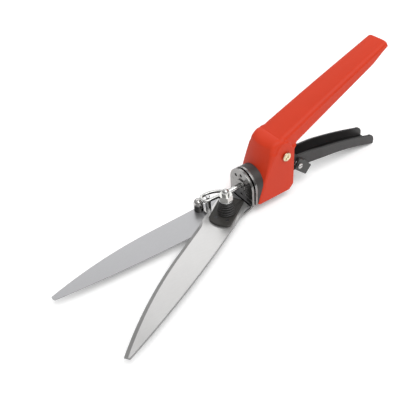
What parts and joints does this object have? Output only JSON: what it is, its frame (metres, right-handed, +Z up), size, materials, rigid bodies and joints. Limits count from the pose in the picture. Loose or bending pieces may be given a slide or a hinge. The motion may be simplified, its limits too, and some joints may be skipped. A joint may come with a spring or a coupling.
{
  "type": "grass shears",
  "caption": "One-hand grass shears: turning blade head, moving blade on a sprung pivot bolt, pull rod, red pressed handle and black squeeze lever with a catch.",
  "frame": {"origin": "on the blade pivot bolt's axis, at the underside of its head", "axes": "+X along the swivel axis to the blade tips, +Y to the tool's left, +Z up along the pivot bolt"},
  "size_m": [0.3204, 0.0979, 0.1021],
  "materials": {
    "red_paint": "satin orange-red enamel",
    "black_paint": "satin black coating",
    "black_plastic": "moulded black plastic",
    "black_spring": "black oiled spring wire",
    "zinc_steel": "bright zinc plate",
    "bright_steel": "bright plated",
    "dark_steel": "dark oxide",
    "spring_steel": "drawn spring wire",
    "blade_steel": "ground blade steel",
    "bush_bronze": "sintered bronze"
  },
  "bodies": {
    "handle": {"handle_shell": "red_paint", "swivel_collar": "black_plastic", "mounting_yoke": "zinc_steel", "detent_balls": "bright_steel", "detent_springs": "spring_steel", "lever_pin": "zinc_steel", "pin_washer": "zinc_steel", "lever_spacers": "zinc_steel"},
    "head": {"head_bracket": "zinc_steel", "swivel_sleeve": "zinc_steel", "swivel_washer": "dark_steel", "sleeve_washer": "zinc_steel", "sleeve_clip": "dark_steel", "fixed_blade": "blade_steel", "blade_rivets": "blade_steel", "stop_stud": "bright_steel", "stud_nut": "zinc_steel", "pivot_bolt": "bright_steel", "cone_spring": "black_spring", "nut_washer": "zinc_steel", "pivot_nut": "bright_steel"},
    "blade": {"moving_blade": "blade_steel", "drive_plate": "black_paint", "plate_rivets": "dark_steel", "drive_stud": "dark_steel"},
    "lever": {"squeeze_lever": "black_paint", "return_spring": "spring_steel", "lever_bush": "bush_bronze", "catch_screw": "bright_steel", "catch_washer": "zinc_steel"},
    "catch": {"lock_catch": "black_paint"},
    "trunnion": {"drive_trunnion": "zinc_steel"},
    "rod": {"pull_rod": "bright_steel", "rod_nuts": "zinc_steel"}
  },
  "joints": [
    {"name": "head_swivel", "type": "hinge", "parent": "handle", "child": "head", "pos_m": [0, -0.0086, 0.02275], "axis": [1, 0, 0], "range_deg": [-90, 90]},
    {"name": "lever_squeeze", "type": "hinge", "parent": "handle", "child": "lever", "pos_m": [-0.056, -0.0086, 0.04395], "axis": [0, 1, 0], "range_deg": [0, 19.94]},
    {"name": "trunnion_slide", "type": "slide", "parent": "handle", "child": "trunnion", "axis": [-1, 0, 0], "range_m": [0, 0.0077]},
    {"name": "rod_slide", "type": "slide", "parent": "head", "child": "rod", "axis": [-1, 0, 0], "range_m": [0, 0.0077]},
    {"name": "blade_swing", "type": "hinge", "parent": "head", "child": "blade", "pos_m": [0, 0, 0.02275], "axis": [0, 0, 1], "range_deg": [-30.01, 0]},
    {"name": "catch_turn", "type": "hinge", "parent": "lever", "child": "catch", "pos_m": [-0.0755, -0.0086, 0.02245], "axis": [0, 1, 0], "range_deg": [0, 30]}
  ],
  "couplings": [
    {"joint": "trunnion_slide", "follows": "lever_squeeze", "m_per_rad": 0.022099},
    {"joint": "rod_slide", "follows": "lever_squeeze", "m_per_rad": 0.022099},
    {"joint": "blade_swing", "follows": "lever_squeeze", "ratio": -1.5047}
  ]
}
